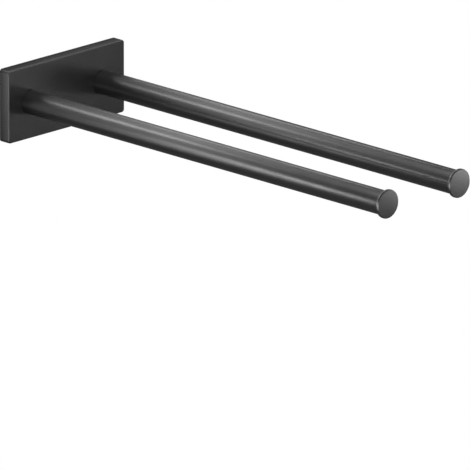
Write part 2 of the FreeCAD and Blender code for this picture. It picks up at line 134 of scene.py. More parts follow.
# Soft boxes behind the plate that face out along the arms, each a step behind the one before:
# name, X, Z, width, height in metres, radiance
BACK_BOXES_Y = 0.50
BACK_BOXES_STEP = 0.002
BACK_BOXES = (
    ("left_key", -0.93, 0.06, 0.40, 0.26, 2.5),
    ("left_wash", -1.00, 0.00, 0.66, 0.70, 4.2),
    ("left_far", -1.25, 0.10, 0.30, 0.40, 13.6),
    ("left_high", -0.62, 0.45, 0.32, 0.34, 3.2),
    ("left_low", -0.57, -0.25, 0.18, 0.16, 2.0),
    ("arch_left", -0.29, 0.60, 0.28, 0.28, 11.2),
    ("arch_middle", 0.075, 0.68, 0.45, 0.24, 3.4),
    ("arch_right", 0.49, 0.55, 0.26, 0.24, 3.9),
    ("right_wash", 0.74, 0.74, 0.26, 0.30, 4.0),
    ("right_low", 0.62, 0.28, 0.24, 0.20, 0.7),
    ("high_left", -0.30, 0.90, 0.36, 0.26, 0.9),
    ("high_strip", 0.10, 0.95, 0.50, 0.24, 2.1),
    ("left_under", -0.68, -0.47, 0.24, 0.16, 1.2),
)

# Soft boxes turned to a point of their own:
# name, centre, aim point, width and height in metres, radiance
AIMED_BOXES = (
    ("front_left", (-1.15, -1.25, -0.48), (0.00, -0.20, 0.0), (0.80, 0.60), 8.5),
    ("front_middle", (0.40, -1.40, -0.10), (0.00, 0.00, 0.0), (0.50, 0.40), 2.0),
    ("side_low", (-1.30, -0.20, -0.38), (0.00, -0.20, 0.0), (0.40, 0.24), 4.0),
    ("cap_left", (-0.72, -1.10, -0.18), (0.00, -0.41, 0.0), (0.50, 0.56), 5.5),
    ("cap_right", (0.52, -0.80, -0.02), (0.04, -0.41, 0.0), (0.25, 0.30), 7.3),
    ("cap_upper", (0.50, -0.89, 0.02), (0.00, -0.41, 0.0), (0.40, 0.20), 2.2),
    ("right_high", (1.00, -0.45, 1.10), (0.00, 0.00, 0.0), (0.60, 0.60), 4.2),
    ("overhead", (-0.30, -0.30, 1.20), (-0.30, -0.30, 0.0), (1.00, 1.00), 6.8),
    ("right_side", (1.30, -0.20, 0.25), (0.00, -0.20, 0.0), (0.60, 0.50), 2.0),
    ("behind_low", (0.50, 1.30, -0.28), (0.00, 0.00, 0.0), (1.50, 0.50), 0.6),
    ("plate_front", (0.075, -0.146, -0.032), (-0.060, -0.010, 0.026), (0.060, 0.030), 1.3),
    ("plate_side", (-0.200, 0.130, -0.030), (-0.066, -0.005, 0.028), (0.080, 0.050), 2.2),
)

# Soft boxes that leave some pieces out, or light them alone: group name, boxes, pieces, kind of link
TUBES = tuple(f"{side}_arm_tube" for side in SIDES)
LIGHT_LINKS = (
    ("spared_tubes", ("cap_left", "cap_right"), TUBES, "EXCLUDE"),
    ("spared_tubes_and_plate", ("cap_upper",), (*TUBES, "cover_plate"), "EXCLUDE"),
    ("lit_plate", ("plate_front", "plate_side"), ("cover_plate",), "INCLUDE"),
)


def reach_of(node):
    """Nearest and farthest distance of a node from the wall."""
    low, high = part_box(node)
    return -high.y, -low.y


def width_of(node):
    """Size of a node along the wall."""
    low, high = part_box(node)
    return high.x - low.x


def middle_of(node):
    """Middle of a node's box."""
    low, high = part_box(node)
    return (low + high) / 2


TUBE_START, TUBE_END = reach_of("left_bar_tube")
CAP_INNER, CAP_FACE = reach_of("left_end_cap")
SCREW_TOP, SCREW_TIP = reach_of("left_bar_screw")
FLAT_INNER, FLAT_OUTER = reach_of("left_flat_washer")
SPRING_INNER, SPRING_OUTER = reach_of("left_spring_washer")
GRUB_LOW, GRUB_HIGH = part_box("left_grub_screw")


def length_property(name, description, default):
    """A length in metres."""
    return bpy.props.FloatProperty(
        name=name, description=description, default=default, min=0.0, precision=5,
        subtype="DISTANCE", unit="LENGTH",
    )


def angle_property(name, description, degrees):
    """An angle, given here in degrees."""
    return bpy.props.FloatProperty(
        name=name, description=description, default=math.radians(degrees),
        subtype="ANGLE", unit="ROTATION",
    )


def factor_property(name, description, default):
    """A share from 0 to 1."""
    return bpy.props.FloatProperty(
        name=name, description=description, default=default, min=0.0, max=1.0, subtype="FACTOR",
    )


def colour_property(name, description, default):
    """A colour with its alpha."""
    return bpy.props.FloatVectorProperty(
        name=name, description=description, default=default, size=4, min=0.0, max=1.0,
        subtype="COLOR",
    )


class ArmSizes(bpy.types.PropertyGroup):
    """Sizes of the tubes and their end caps."""

    tube_radius: length_property(
        "Tube radius", "Outside of the tube", width_of("left_bar_tube") / 2)
    tube_wall: length_property("Tube wall", "Thickness of the tube's wall", 0.0015)
    tube_edge: length_property("Tube edge", "Rounding of the tube's ends", 0.0002)
    cap_radius: length_property(
        "Cap radius", "Outside of the end cap's flange", width_of("left_end_cap") / 2)
    cap_chamfer: length_property(
        "Cap chamfer", "Width of the chamfer around the cap's face", 0.0007)
    cap_drop: length_property("Cap drop", "How far that chamfer falls back from the face", 0.0007)
    cap_crown: length_property("Cap crown", "Height of the cap's slightly domed face", 0.00025)
    spigot_gap: length_property("Spigot gap", "Gap between the cap's spigot and the tube", 0.00005)
    spigot_lead: length_property("Spigot lead", "Bevel at the inner end of the spigot", 0.0008)
    segments: bpy.props.IntProperty(
        name="Segments", description="Facets around the arms", default=192, min=48)


class FastenerSizes(bpy.types.PropertyGroup):
    """Sizes of the screws and washers behind the plate."""

    head_radius: length_property(
        "Head radius", "Outside of the button head", width_of("left_bar_screw") / 2)
    head_height: length_property("Head height", "Button head along the screw", 0.0033)
    head_wall: length_property("Head wall", "Straight edge under the head's dome", 0.0005)
    head_flat: length_property("Head flat", "Radius of the flat top around the socket", 0.0029)
    socket_width: length_property("Socket width", "Hexagon socket across its flats", 0.004)
    socket_depth: length_property("Socket depth", "Depth of the hexagon socket", 0.002)
    shank_radius: length_property("Shank radius", "Outside of the screw's thread", 0.003)
    shank_pitch: length_property("Shank pitch", "Rise of the screw's thread per turn", 0.001)
    grub_radius: length_property(
        "Grub radius", "Outside of the grub screw's thread", width_of("left_grub_screw") / 2)
    grub_pitch: length_property("Grub pitch", "Rise of the grub screw's thread per turn", 0.0008)
    grub_socket_width: length_property("Grub socket", "Hexagon socket across its flats", 0.0025)
    grub_socket_depth: length_property(
        "Grub socket depth", "Depth of the grub screw's socket", 0.0025)
    grub_point: length_property("Grub point", "Height of the grub screw's cone", 0.002)
    grub_flat: length_property("Grub flat", "Radius of the blunt end of the cone", 0.0005)
    flat_radius: length_property(
        "Flat washer radius", "Outside of the flat washer", width_of("left_flat_washer") / 2)
    spring_radius: length_property(
        "Spring washer radius", "Outside of the spring washer", width_of("left_spring_washer") / 2)
    washer_hole: length_property("Washer hole", "Radius of the hole in both washers", 0.0032)
    washer_edge: length_property("Washer edge", "Rounding of the washers' edges", 0.00015)
    tip_lead: length_property("Tip lead", "Bevel at the ends of the threads", 0.0006)
    spring_split: length_property("Spring split", "Cut through the spring washer", 0.001)
    spring_slant: angle_property("Spring slant", "Angle of that cut to the screw's axis", 20)
    segments: bpy.props.IntProperty(
        name="Segments", description="Facets around the fasteners", default=72, min=24)


class FinishLook(bpy.types.PropertyGroup):
    """Colours and gloss of the four finishes."""

    coat_colour: colour_property(
        "Coat colour", "Satin black powder coat", (0.010, 0.010, 0.0102, 1.0))
    coat_light: colour_property(
        "Coat light", "Paler flecks of the powder coat", (0.0145, 0.0145, 0.0147, 1.0))
    coat_smooth: factor_property("Coat smooth", "Lowest roughness of the coat", 0.29)
    coat_rough: factor_property("Coat rough", "Highest roughness of the coat", 0.33)
    sheet_colour: colour_property(
        "Sheet colour", "Brushed stainless sheet", (0.56, 0.555, 0.54, 1.0))
    zinc_colour: colour_property(
        "Zinc colour", "Bright zinc plating", (0.62, 0.64, 0.66, 1.0))
    brass_colour: colour_property(
        "Brass colour", "Turned brass", (0.72, 0.50, 0.20, 1.0))


class StageLook(bpy.types.PropertyGroup):
    """Floor, background, shade on the wall and camera."""

    floor_drop: length_property("Floor drop", "Floor below the middle of the plate", 0.62)
    floor_size: length_property("Floor size", "Side of the square floor", 6.0)
    floor_colour: colour_property(
        "Floor colour", "Floor as the object reflects it", (0.14, 0.14, 0.14, 1.0))
    background: colour_property("Background", "Seen behind the object", (1.0, 1.0, 1.0, 1.0))
    shade_width: length_property("Shade width", "Soft shade on the wall round the plate", 0.022)
    shade_strength: factor_property(
        "Shade strength", "Darkness of that shade beside the plate", 0.85)
    fill_strength: bpy.props.FloatProperty(
        name="Fill strength", description="Light that comes from all round", default=0.16, min=0.0)
    azimuth: angle_property("Azimuth", "Camera's turn round the object, from its front", -44.929)
    elevation: angle_property("Elevation", "Camera's angle above the horizon", 16.808)
    lens: bpy.props.FloatProperty(
        name="Lens", description="Focal length of the camera, in millimetres", default=1650.0,
        subtype="DISTANCE_CAMERA", unit="CAMERA")
    frame_width: length_property("Frame width", "Width of the picture at the aim point", 0.37966)
    aim_right: length_property(
        "Aim right", "Aim point to the right of the origin, as seen", 0.14326)
    aim_down: length_property("Aim down", "Aim point below the origin, as seen", 0.11776)


def new_group(name, inputs, outputs):
    """An empty shader node group with its inputs (name, type, default) and outputs (name, type)."""
    group = bpy.data.node_groups.new(name, "ShaderNodeTree")
    for socket_name, kind, default in inputs:
        socket = group.interface.new_socket(name=socket_name, in_out="INPUT", socket_type=kind)
        if default is not None:
            socket.default_value = default
    for socket_name, kind in outputs:
        group.interface.new_socket(name=socket_name, in_out="OUTPUT", socket_type=kind)
    entry = group.nodes.new("NodeGroupInput")
    leave = group.nodes.new("NodeGroupOutput")
    return group, entry, leave


def add_node(tree, kind, settings=None, links=None):
    """A node with its settings and inputs: a socket is linked, any other value is set."""
    node = tree.nodes.new(kind)
    for name, value in (settings or {}).items():
        setattr(node, name, value)
    for name, value in (links or {}).items():
        if isinstance(value, bpy.types.NodeSocket):
            tree.links.new(value, node.inputs[name])
        else:
            node.inputs[name].default_value = value
    return node


def mottle_group():
    """Soft patches at one size, as a mask from 0 to 1."""
    group, entry, leave = new_group(
        "Soft Mottle",
        (("Vector", "NodeSocketVector", None), ("Scale", "NodeSocketFloat", 60.0)),
        (("Mask", "NodeSocketFloat"),),
    )
    noise = add_node(group, "ShaderNodeTexNoise", links={
        "Vector": entry.outputs["Vector"],
        "Scale": entry.outputs["Scale"],
        "Detail": 3.0,
        "Roughness": 0.55,
    })
    ramp = add_node(group, "ShaderNodeMapRange", {"clamp": True}, {
        "Value": noise.outputs["Fac"], "From Min": 0.35, "From Max": 0.65})
    group.links.new(ramp.outputs["Result"], leave.inputs["Mask"])
    return group


def grain_group():
    """Two sizes of fine relief, as a height from 0 to 1."""
    group, entry, leave = new_group(
        "Fine Relief",
        (
            ("Vector", "NodeSocketVector", None),
            ("Scale", "NodeSocketFloat", 1200.0),
            ("Fine Share", "NodeSocketFloat", 0.35),
        ),
        (("Height", "NodeSocketFloat"),),
    )
    broad = add_node(group, "ShaderNodeTexNoise", links={
        "Vector": entry.outputs["Vector"], "Scale": entry.outputs["Scale"], "Detail": 1.0})
    finer = add_node(group, "ShaderNodeMath", {"operation": "MULTIPLY"})
    group.links.new(entry.outputs["Scale"], finer.inputs[0])
    finer.inputs[1].default_value = FINER_CELLS
    fine = add_node(group, "ShaderNodeTexNoise", links={
        "Vector": entry.outputs["Vector"], "Scale": finer.outputs["Value"], "Detail": 1.0})
    mix = add_node(group, "ShaderNodeMix", {"data_type": "FLOAT"}, {
        "Factor": entry.outputs["Fine Share"], "A": broad.outputs["Fac"], "B": fine.outputs["Fac"]})
    group.links.new(mix.outputs["Result"], leave.inputs["Height"])
    return group


def lines_group():
    """Long fine lines left by brushing or turning, as a height from 0 to 1."""
    group, entry, leave = new_group(
        "Fine Lines",
        (("Vector", "NodeSocketVector", None), ("Stretch", "NodeSocketVector", (1.0, 1.0, 1.0))),
        (("Height", "NodeSocketFloat"),),
    )
    stretched = add_node(group, "ShaderNodeVectorMath", {"operation": "MULTIPLY"})
    group.links.new(entry.outputs["Vector"], stretched.inputs[0])
    group.links.new(entry.outputs["Stretch"], stretched.inputs[1])
    noise = add_node(group, "ShaderNodeTexNoise", links={
        "Vector": stretched.outputs["Vector"], "Scale": 1.0, "Detail": 3.0, "Roughness": 0.6})
    group.links.new(noise.outputs["Fac"], leave.inputs["Height"])
    return group


def effect(name):
    """One of the shared node groups, built the first time it is asked for."""
    makers = {"Soft Mottle": mottle_group, "Fine Relief": grain_group, "Fine Lines": lines_group}
    return bpy.data.node_groups.get(name) or makers[name]()


def add_effect(tree, name, links):
    """A shared node group placed in a material with its own values."""
    return add_node(tree, "ShaderNodeGroup", {"node_tree": effect(name)}, links)


def start_material(name):
    """A new material with its node tree and its shader."""
    material = bpy.data.materials.new(name)
    material.use_nodes = True
    tree = material.node_tree
    return material, tree, tree.nodes["Principled BSDF"]


def object_place(tree):
    """The object's own coordinates."""
    return add_node(tree, "ShaderNodeTexCoord").outputs["Object"]


def mix_colours(tree, mask, first, second):
    """A colour between two, by a mask."""
    mix = add_node(tree, "ShaderNodeMix", {"data_type": "RGBA"}, {"Factor": mask})
    mix.inputs[MIX_FIRST_COLOUR].default_value = first
    mix.inputs[MIX_SECOND_COLOUR].default_value = second
    return mix.outputs[MIX_COLOUR_RESULT]


def mix_shaders(tree, share, first, second):
    """A shader between two, by the share of the second."""
    mix = add_node(tree, "ShaderNodeMixShader")
    for source, socket in zip((share, first, second), mix.inputs):
        tree.links.new(source, socket)
    return mix.outputs["Shader"]


def map_mask(tree, mask, low, high):
    """A mask spread from a low to a high value."""
    ramp = add_node(tree, "ShaderNodeMapRange", {"clamp": True}, {
        "Value": mask, "To Min": low, "To Max": high})
    return ramp.outputs["Result"]


def raise_relief(tree, height, strength, distance):
    """The normal of a relief."""
    bump = add_node(tree, "ShaderNodeBump", links={
        "Height": height, "Strength": strength, "Distance": distance})
    return bump.outputs["Normal"]


def second_tone(colour, shares):
    """A colour with its red, green and blue scaled."""
    return [channel * share for channel, share in zip(colour, shares)] + [1.0]


def feed_shader(tree, shader, colour, roughness, normal):
    """Link the parts of a finish that change over the surface."""
    tree.links.new(colour, shader.inputs["Base Color"])
    tree.links.new(roughness, shader.inputs["Roughness"])
    tree.links.new(normal, shader.inputs["Normal"])


def powder_coat(look):
    """Satin black powder coat: near-black with faint flecks and a fine peel."""
    material, tree, shader = start_material("black_powder_coat")
    place = object_place(tree)
    flecks = add_effect(tree, "Soft Mottle", {"Vector": place, "Scale": COAT_FLECKS})
    patches = add_effect(tree, "Soft Mottle", {"Vector": place, "Scale": COAT_PATCHES})
    peel = add_effect(tree, "Fine Relief", {
        "Vector": place, "Scale": COAT_PEEL, "Fine Share": COAT_PEEL_FINE})
    colour = mix_colours(tree, flecks.outputs["Mask"], look.coat_colour, look.coat_light)
    roughness = map_mask(tree, patches.outputs["Mask"], look.coat_smooth, look.coat_rough)
    normal = raise_relief(tree, peel.outputs["Height"], *COAT_RELIEF)
    feed_shader(tree, shader, colour, roughness, normal)
    return material


def brushed_sheet(look):
    """Stainless sheet, brushed along its length."""
    material, tree, shader = start_material("brushed_stainless")
    place = object_place(tree)
    brush = add_effect(tree, "Fine Lines", {"Vector": place, "Stretch": SHEET_BRUSHING})
    patches = add_effect(tree, "Soft Mottle", {"Vector": place, "Scale": SHEET_PATCHES})
    dark = second_tone(look.sheet_colour, SHEET_SHADE)
    colour = mix_colours(tree, brush.outputs["Height"], dark, look.sheet_colour)
    roughness = map_mask(tree, patches.outputs["Mask"], *SHEET_ROUGHNESS)
    normal = raise_relief(tree, brush.outputs["Height"], *SHEET_RELIEF)
    feed_shader(tree, shader, colour, roughness, normal)
    shader.inputs["Metallic"].default_value = 1.0
    return material


def zinc_plate(look):
    """Bright zinc plating with a faint warm cast in patches."""
    material, tree, shader = start_material("zinc_plated_steel")
    place = object_place(tree)
    patches = add_effect(tree, "Soft Mottle", {"Vector": place, "Scale": ZINC_PATCHES})
    grain = add_effect(tree, "Fine Relief", {"Vector": place, "Scale": ZINC_GRAIN})
    warm = second_tone(look.zinc_colour, ZINC_WARMTH)
    colour = mix_colours(tree, patches.outputs["Mask"], look.zinc_colour, warm)
    roughness = map_mask(tree, patches.outputs["Mask"], *ZINC_ROUGHNESS)
    normal = raise_relief(tree, grain.outputs["Height"], *ZINC_RELIEF)
    feed_shader(tree, shader, colour, roughness, normal)
    shader.inputs["Metallic"].default_value = 1.0
    return material


def turned_brass(look):
    """Brass with the fine rings left by turning."""
    material, tree, shader = start_material("turned_brass")
    place = object_place(tree)
    rings = add_effect(tree, "Fine Lines", {"Vector": place, "Stretch": BRASS_RINGS})
    dark = second_tone(look.brass_colour, BRASS_SHADE)
    colour = mix_colours(tree, rings.outputs["Height"], dark, look.brass_colour)
    roughness = map_mask(tree, rings.outputs["Height"], *BRASS_ROUGHNESS)
    normal = raise_relief(tree, rings.outputs["Height"], *BRASS_RELIEF)
    feed_shader(tree, shader, colour, roughness, normal)
    shader.inputs["Metallic"].default_value = 1.0
    return material


def finish_of(slot, look):
    """The material of one of the record's slots, built the first time it is asked for."""
    makers = {
        "black_coat": ("black_powder_coat", powder_coat),
        "stainless_sheet": ("brushed_stainless", brushed_sheet),
        "plated_steel": ("zinc_plated_steel", zinc_plate),
        "turned_brass": ("turned_brass", turned_brass),
    }
    name, maker = makers[slot]
    return bpy.data.materials.get(name) or maker(look)


def start_ring(bm, radius, level, segments):
    """A first ring of edges round the local Z axis."""
    place = Matrix.Translation((0.0, 0.0, level))
    made = bmesh.ops.create_circle(
        bm, cap_ends=False, radius=radius, segments=segments, matrix=place)
    return list({edge for vert in made["verts"] for edge in vert.link_edges})


def extend_ring(bm, edges, radius, level):
    """Pull a ring of edges on to a new radius and level, with faces between."""
    made = bmesh.ops.extrude_edge_only(bm, edges=edges)["geom"]
    verts = [item for item in made if isinstance(item, bmesh.types.BMVert)]
    moved = set(verts)
    widest = max(vert.co.xy.length for vert in verts)
    scale = radius / widest
    bmesh.ops.scale(bm, vec=(scale, scale, 1.0), verts=verts)
    bmesh.ops.translate(bm, vec=(0.0, 0.0, level - verts[0].co.z), verts=verts)
    return [
        item for item in made
        if isinstance(item, bmesh.types.BMEdge) and all(vert in moved for vert in item.verts)
    ]


def turn_profile(bm, edges, stations):
    """Pull a ring through stations of (radius, level)."""
    for radius, level in stations:
        edges = extend_ring(bm, edges, radius, level)
    return edges


def arc_stations(centre, radius, start, end, steps):
    """Stations along an arc in the half plane of radius and level, angles in degrees."""
    across, along = centre
    stations = []
    for step in range(steps + 1):
        angle = math.radians(start + (end - start) * step / steps)
        stations.append((across + radius * math.cos(angle), along + radius * math.sin(angle)))
    return stations


def close_ring(bm, edges):
    """Fill a ring of edges with one face."""
    bmesh.ops.edgeloop_fill(bm, edges=edges)


def place_on_arm(bm, side):
    """Lay a piece made along local Z on an arm's axis, with Z as the distance from the wall."""
    out_from_wall = Matrix.Rotation(QUARTER_TURN, 3, "X")
    bmesh.ops.rotate(bm, cent=(0.0, 0.0, 0.0), matrix=out_from_wall, verts=bm.verts)
    bmesh.ops.translate(bm, vec=(middle_of(f"{side}_bar_tube").x, 0.0, 0.0), verts=bm.verts)


def add_object(context, name, bm, material):
    """Turn a bmesh into an object of the scene."""
    mesh = bpy.data.meshes.new(name)
    bm.to_mesh(mesh)
    bm.free()
    mesh.materials.append(material)
    made = bpy.data.objects.new(name, mesh)
    context.scene.collection.objects.link(made)
    return made


def add_piece(context, name, bm, node, slot):
    """Turn a bmesh into a shown piece that stands for a CAD node."""
    bmesh.ops.remove_doubles(bm, verts=bm.verts, dist=MERGE_DISTANCE)
    bmesh.ops.recalc_face_normals(bm, faces=bm.faces)
    piece = add_object(context, name, bm, finish_of(slot, context.scene.towel_bar_finish))
    mesh = piece.data
    mesh.polygons.foreach_set("use_smooth", [True] * len(mesh.polygons))
    mesh.set_sharp_from_angle(angle=SHARP_ANGLE)
    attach(piece, BODY)
    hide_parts(node)


def rounded_corner(radius, level, rounding, start, end):
    """Stations round an outer corner, from one angle of its arc to the other."""
    middle = math.radians((start + end) / 2)
    centre = (
        radius - math.copysign(rounding, math.cos(middle)),
        level - math.copysign(rounding, math.sin(middle)),
    )
    return arc_stations(centre, rounding, start, end, CORNER_STEPS)


def turn_hollow(bm, outer, inner, low, high, edge, segments):
    """A tube or washer between two levels, with all four edges rounded."""
    outline = (
        rounded_corner(outer, low, edge, -90, 0)
        + rounded_corner(outer, high, edge, 0, 90)
        + rounded_corner(inner, high, edge, 90, 180)
        + rounded_corner(inner, low, edge, 180, 270)
    )
    first = start_ring(bm, *outline[0], segments)
    last = turn_profile(bm, first, outline[1:])
    bmesh.ops.bridge_loops(bm, edges=first + last)


def wind_thread(bm, radius, pitch, low, high, segments):
    """A thread between two levels; gives back its open lower and upper loops."""
    minor = radius - THREAD_DEPTH * pitch
    start = low - SPARE_TURNS * pitch
    verts = [
        bm.verts.new((minor + (radius - minor) * out, 0.0, start + share * pitch))
        for out, share in THREAD_FORM
    ]
    edges = [bm.edges.new(pair) for pair in zip(verts, verts[1:])]
    bmesh.ops.spin(
        bm, geom=verts + edges, cent=(0.0, 0.0, 0.0), axis=(0.0, 0.0, 1.0),
        dvec=(0.0, 0.0, pitch / segments), angle=FULL_TURN, steps=segments,
    )
    first_turn = bm.verts[:] + bm.edges[:] + bm.faces[:]
    for turn in range(1, math.ceil((high - start) / pitch) + 1):
        copied = bmesh.ops.duplicate(bm, geom=first_turn)["geom"]
        moved = [item for item in copied if isinstance(item, bmesh.types.BMVert)]
        bmesh.ops.translate(bm, vec=(0.0, 0.0, turn * pitch), verts=moved)
    bmesh.ops.remove_doubles(bm, verts=bm.verts, dist=MERGE_DISTANCE)
    loops = []
    for level, below in ((low, True), (high, False)):
        cut = bmesh.ops.bisect_plane(
            bm, geom=bm.verts[:] + bm.edges[:] + bm.faces[:], dist=MERGE_DISTANCE,
            plane_co=(0.0, 0.0, level), plane_no=(0.0, 0.0, 1.0),
            clear_inner=below, clear_outer=not below,
        )["geom_cut"]
        loops.append([item for item in cut if isinstance(item, bmesh.types.BMEdge)])
    return loops


def sink_socket(bm, ring, across_flats, top, depth, segments):
    """A hexagon socket inside a ring at the top level, sunk to a depth."""
    corner = across_flats / 2 / math.cos(math.pi / HEXAGON)
    hexagon = start_ring(bm, corner, top, HEXAGON)
    cuts = segments // HEXAGON - 1
    split = bmesh.ops.subdivide_edges(bm, edges=hexagon, cuts=cuts)["geom_inner"]
    hexagon = list({edge for item in split for edge in (
        item.link_edges if isinstance(item, bmesh.types.BMVert) else [item])})
    floor = extend_ring(bm, hexagon, corner, top + depth)
    close_ring(bm, floor)
    bmesh.ops.bridge_loops(bm, edges=ring + hexagon)


def cut_slit(bm, width, slant, level):
    """Cut a ring through at one place, on a slant, and close both ends."""
    across = Vector((math.cos(slant), 0.0, -math.sin(slant)))
    middle = Vector((0.0, 0.0, level))
    for sign in (-1, 1):
        half = [face for face in bm.faces if face.calc_center_median().y > 0.0]
        edges = {edge for face in half for edge in face.edges}
        verts = {vert for face in half for vert in face.verts}
        bmesh.ops.bisect_plane(
            bm, geom=half + list(edges) + list(verts), dist=MERGE_DISTANCE,
            plane_co=middle + across * (sign * width / 2), plane_no=across,
        )
    cut_out = []
    for face in bm.faces:
        centre = face.calc_center_median()
        if centre.y > 0.0 and abs((centre - middle).dot(across)) < width / 2:
            cut_out.append(face)
    bmesh.ops.delete(bm, geom=cut_out, context="FACES")
    ends = [edge for edge in bm.edges if edge.is_boundary]
    bmesh.ops.holes_fill(bm, edges=ends, sides=0)


class TOWELBAR_OT_tubes(bpy.types.Operator):
    """Make the two tubes of the arms, with rounded ends"""

    bl_idname = "towel_bar.tubes"
    bl_label = "Arm Tubes"

    def execute(self, context):
        sizes = context.scene.towel_bar_arms
        inner = sizes.tube_radius - sizes.tube_wall
        for side in SIDES:
            bm = bmesh.new()
            turn_hollow(
                bm, sizes.tube_radius, inner, TUBE_START, TUBE_END,
                sizes.tube_edge, sizes.segments)
            place_on_arm(bm, side)
            add_piece(context, f"{side}_arm_tube", bm, f"{side}_bar_tube", "black_coat")
        return {"FINISHED"}


class TOWELBAR_OT_caps(bpy.types.Operator):
    """Make the two flanged end caps, with a slightly domed face"""

    bl_idname = "towel_bar.caps"
    bl_label = "End Caps"

    def execute(self, context):
        sizes = context.scene.towel_bar_arms
        spigot = sizes.tube_radius - sizes.tube_wall - sizes.spigot_gap
        shoulder = TUBE_END
        rim = CAP_FACE - sizes.cap_crown
        face = sizes.cap_radius - sizes.cap_chamfer
        crown = [
            (face * share, rim + sizes.cap_crown * (1 - share * share))
            for share in CROWN_SHARES
        ]
        outline = (
            [(spigot, CAP_INNER + sizes.spigot_lead), (spigot, shoulder)]
            + rounded_corner(sizes.cap_radius, shoulder, sizes.tube_edge, -90, 0)
            + [(sizes.cap_radius, rim - sizes.cap_drop), (face, rim)]
            + crown
        )
        for side in SIDES:
            bm = bmesh.new()
            inner_end = start_ring(bm, spigot - sizes.spigot_lead, CAP_INNER, sizes.segments)
            close_ring(bm, inner_end)
            close_ring(bm, turn_profile(bm, inner_end, outline))
            place_on_arm(bm, side)
            add_piece(context, f"{side}_arm_cap", bm, f"{side}_end_cap", "black_coat")
        return {"FINISHED"}


class TOWELBAR_OT_bar_screws(bpy.types.Operator):
    """Make the two button head screws that hold the arms, with thread and socket"""

    bl_idname = "towel_bar.bar_screws"
    bl_label = "Bar Screws"

    def execute(self, context):
        sizes = context.scene.towel_bar_fasteners
        under_head = SCREW_TOP + sizes.head_height
        wall_top = under_head - sizes.head_wall
        neck = sizes.shank_radius - THREAD_DEPTH * sizes.shank_pitch / 2
        dome_width = sizes.head_radius - sizes.head_flat
        dome = []
        for degrees in DOME_ANGLES:
            angle = math.radians(degrees)
            radius = sizes.head_flat + dome_width * math.cos(angle)
            dome.append((radius, wall_top + (SCREW_TOP - wall_top) * math.sin(angle)))
        outline = (
            [(neck, under_head)]
            + rounded_corner(sizes.head_radius, under_head, sizes.washer_edge, 90, 0)
            + [(sizes.head_radius, wall_top)]
            + dome
        )
        for side in SIDES:
            bm = bmesh.new()
            lower, upper = wind_thread(
                bm, sizes.shank_radius, sizes.shank_pitch, under_head + sizes.shank_pitch,
                SCREW_TIP - sizes.tip_lead, sizes.segments)
            tip = extend_ring(bm, upper, sizes.shank_radius - sizes.tip_lead, SCREW_TIP)
            close_ring(bm, tip)
            ring = start_ring(bm, neck, under_head + sizes.shank_pitch / 2, sizes.segments)
            bmesh.ops.bridge_loops(bm, edges=ring + lower)
            top = turn_profile(bm, ring, outline)
            sink_socket(
                bm, top, sizes.socket_width, SCREW_TOP, sizes.socket_depth, sizes.segments)
            place_on_arm(bm, side)
            add_piece(context, f"{side}_button_screw", bm, f"{side}_bar_screw", "plated_steel")
        return {"FINISHED"}


class TOWELBAR_OT_washers(bpy.types.Operator):
    """Make the flat and the spring washer of each arm"""

    bl_idname = "towel_bar.washers"
    bl_label = "Washers"

    def execute(self, context):
        sizes = context.scene.towel_bar_fasteners
        spring_middle = (SPRING_INNER + SPRING_OUTER) / 2
        for side in SIDES:
            bm = bmesh.new()
            turn_hollow(
                bm, sizes.flat_radius, sizes.washer_hole, FLAT_INNER, FLAT_OUTER,
                sizes.washer_edge, sizes.segments)
            place_on_arm(bm, side)
            add_piece(context, f"{side}_plain_washer", bm, f"{side}_flat_washer", "plated_steel")
            bm = bmesh.new()
            turn_hollow(
                bm, sizes.spring_radius, sizes.washer_hole, SPRING_INNER, SPRING_OUTER,
                sizes.washer_edge, sizes.segments)
            bmesh.ops.recalc_face_normals(bm, faces=bm.faces)
            cut_slit(bm, sizes.spring_split, sizes.spring_slant, spring_middle)
            place_on_arm(bm, side)
            add_piece(context, f"{side}_split_washer", bm, f"{side}_spring_washer", "plated_steel")
        return {"FINISHED"}


class TOWELBAR_OT_grub_screws(bpy.types.Operator):
    """Make the two pointed grub screws in the plate's lower rim"""

    bl_idname = "towel_bar.grub_screws"
    bl_label = "Grub Screws"

    def execute(self, context):
        sizes = context.scene.towel_bar_fasteners
        low = GRUB_LOW.z
        high = GRUB_HIGH.z
        end_ring = sizes.grub_radius - sizes.tip_lead
        for side in SIDES:
            bm = bmesh.new()
            lower, upper = wind_thread(
                bm, sizes.grub_radius, sizes.grub_pitch, low + sizes.tip_lead,
                high - sizes.grub_point, sizes.segments)
            close_ring(bm, extend_ring(bm, upper, sizes.grub_flat, high))
            ring = start_ring(bm, end_ring, low, sizes.segments)
            bmesh.ops.bridge_loops(bm, edges=ring + lower)
            sink_socket(
                bm, ring, sizes.grub_socket_width, low, sizes.grub_socket_depth, sizes.segments)
            middle = middle_of(f"{side}_grub_screw")
            bmesh.ops.translate(bm, vec=(middle.x, middle.y, 0.0), verts=bm.verts)
            add_piece(context, f"{side}_set_screw", bm, f"{side}_grub_screw", "plated_steel")
        return {"FINISHED"}


class TOWELBAR_OT_castings(bpy.types.Operator):
    """Finish the cover plate, the wall bracket and the bar inserts"""

    bl_idname = "towel_bar.castings"
    bl_label = "Plate, Bracket and Inserts"

    def execute(self, context):
        look = context.scene.towel_bar_finish
        finishes = {"cover_plate": "black_coat", "wall_bracket": "stainless_sheet"}
        finishes.update({f"{side}_bar_insert": "turned_brass" for side in SIDES})
        for node, slot in finishes.items():
            for material_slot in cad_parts[node].material_slots:
                material_slot.material = finish_of(slot, look)
        return {"FINISHED"}


